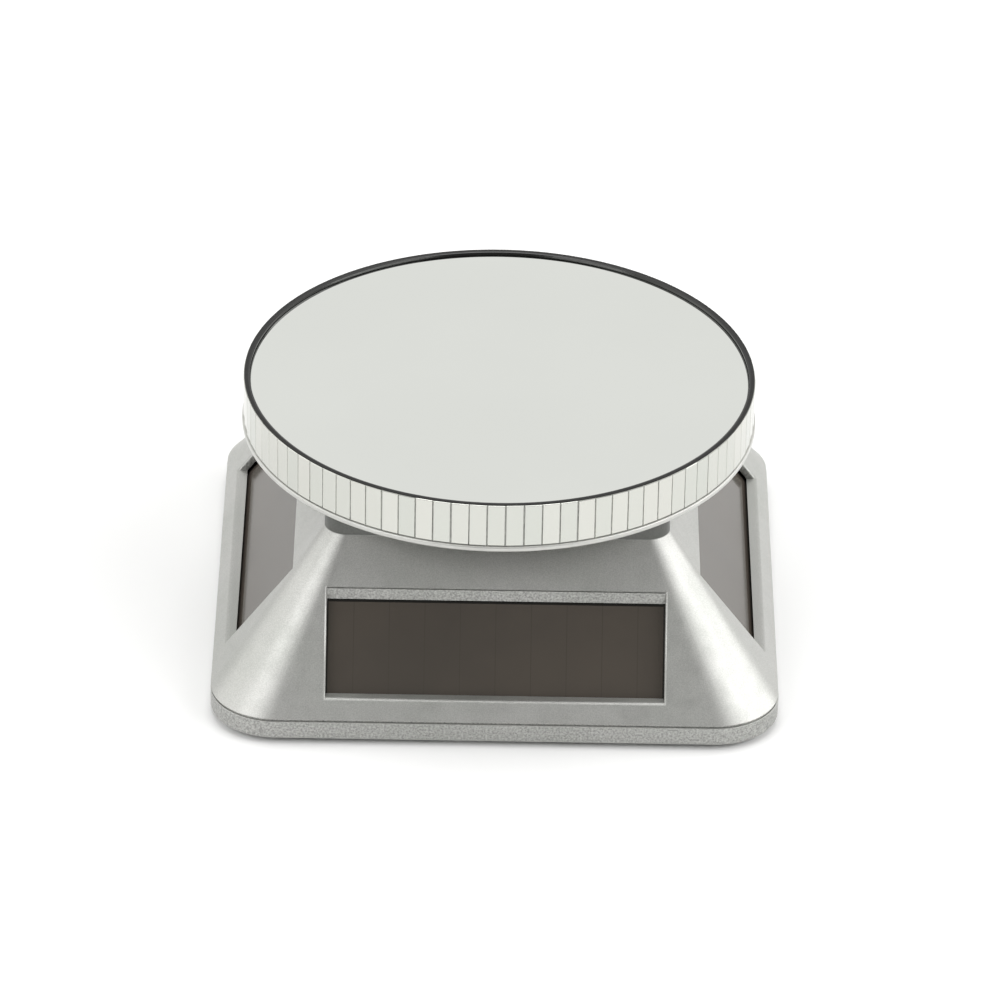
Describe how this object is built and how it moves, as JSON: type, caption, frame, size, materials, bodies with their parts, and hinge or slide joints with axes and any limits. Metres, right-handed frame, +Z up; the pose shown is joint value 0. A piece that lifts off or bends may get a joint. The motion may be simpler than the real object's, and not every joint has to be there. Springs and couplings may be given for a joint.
{
  "type": "turntable display stand",
  "caption": "Square sloping-sided housing with a solar cell behind a window in each side, carrying a slowly turning round mirror-topped platter edged with mirror tiles.",
  "frame": {"origin": "on the table, under the middle of the stand, level with the undersides of the feet", "axes": "+Z up along the platter's axis, -Y towards the front, +X to the right"},
  "size_m": [0.1, 0.1, 0.0466],
  "materials": {
    "silver_paint": "satin metallic silver paint on ABS, fine even grain",
    "mirror": "silvered float glass, polished",
    "mosaic": "narrow mirror tiles with fine joints",
    "black_abs": "moulded, light texture",
    "solar_cell": "amorphous silicon film behind clear glass, brown, fine cell lines",
    "rubber": "matt",
    "steel": "zinc-plated",
    "acetal": "natural white, smooth",
    "nylon": "natural",
    "brass": "turned",
    "nickel": "nickel-plated strip and wire",
    "cell_wrap": "plain printed film, no lettering",
    "board": "solder mask",
    "diode": "moulded epoxy",
    "red_wire": "PVC insulation",
    "black_wire": "PVC insulation"
  },
  "bodies": {
    "base": {"upper_housing": "silver_paint", "base_plate": "silver_paint", "gearbox_frame": "black_abs", "gearbox_cover": "black_abs", "solar_panel_front": "solar_cell", "solar_panel_right": "solar_cell", "solar_panel_rear": "solar_cell", "solar_panel_left": "solar_cell", "foot_front_left": "rubber", "foot_front_right": "rubber", "foot_rear_left": "rubber", "foot_rear_right": "rubber", "housing_screw_front_left": "steel", "housing_screw_front_right": "steel", "housing_screw_rear_left": "steel", "housing_screw_rear_right": "steel", "gearbox_screw_1": "steel", "gearbox_screw_2": "steel", "gearbox_screw_3": "steel", "gearbox_screw_4": "steel", "motor_screw_1": "steel", "motor_screw_2": "steel", "first_arbor": "steel", "second_arbor": "steel", "motor": "steel", "spindle_bush": "brass", "positive_contact": "nickel", "negative_contact": "nickel", "contact_spring": "nickel", "aa_cell": "cell_wrap", "circuit_board": "board", "blocking_diode": "diode", "front_panel_lead": "red_wire", "left_panel_lead": "red_wire", "motor_lead": "red_wire", "positive_lead": "red_wire", "rear_panel_lead": "black_wire", "right_panel_lead": "black_wire", "negative_lead": "black_wire"},
    "platter": {"platter_tray": "silver_paint", "mirror_disc": "mirror", "rim_ring": "black_abs", "mosaic_band": "mosaic", "platter_screw": "steel", "output_gear_spindle": "acetal", "thrust_washer": "nylon"},
    "second_gear": {"second_reduction_gear": "acetal"},
    "first_gear": {"first_reduction_gear": "acetal"},
    "rotor": {"motor_shaft": "steel", "motor_pinion": "brass"},
    "door": {"battery_door": "silver_paint"}
  },
  "joints": [
    {"name": "platter_spin", "type": "hinge", "parent": "base", "child": "platter", "pos_m": [0, 0, 0.03965], "axis": [0, 0, 1], "continuous": true},
    {"name": "second_gear_spin", "type": "hinge", "parent": "base", "child": "second_gear", "pos_m": [-0.01169, -0.00675, 0.0232], "axis": [0, 0, 1], "continuous": true},
    {"name": "first_gear_spin", "type": "hinge", "parent": "base", "child": "first_gear", "pos_m": [-0.00494, -0.01844, 0.0232], "axis": [0, 0, 1], "continuous": true},
    {"name": "motor_spin", "type": "hinge", "parent": "base", "child": "rotor", "pos_m": [0.00856, -0.01844, 0.0204], "axis": [0, 0, 1], "continuous": true},
    {"name": "battery_door_hinge", "type": "hinge", "parent": "base", "child": "door", "pos_m": [-0.0296, 0.028, 0.0019], "axis": [0, 1, 0], "range_deg": [0, 100]}
  ],
  "couplings": [
    {"joint": "second_gear_spin", "follows": "platter_spin", "ratio": -5},
    {"joint": "first_gear_spin", "follows": "platter_spin", "ratio": 25},
    {"joint": "motor_spin", "follows": "platter_spin", "ratio": -125}
  ]
}
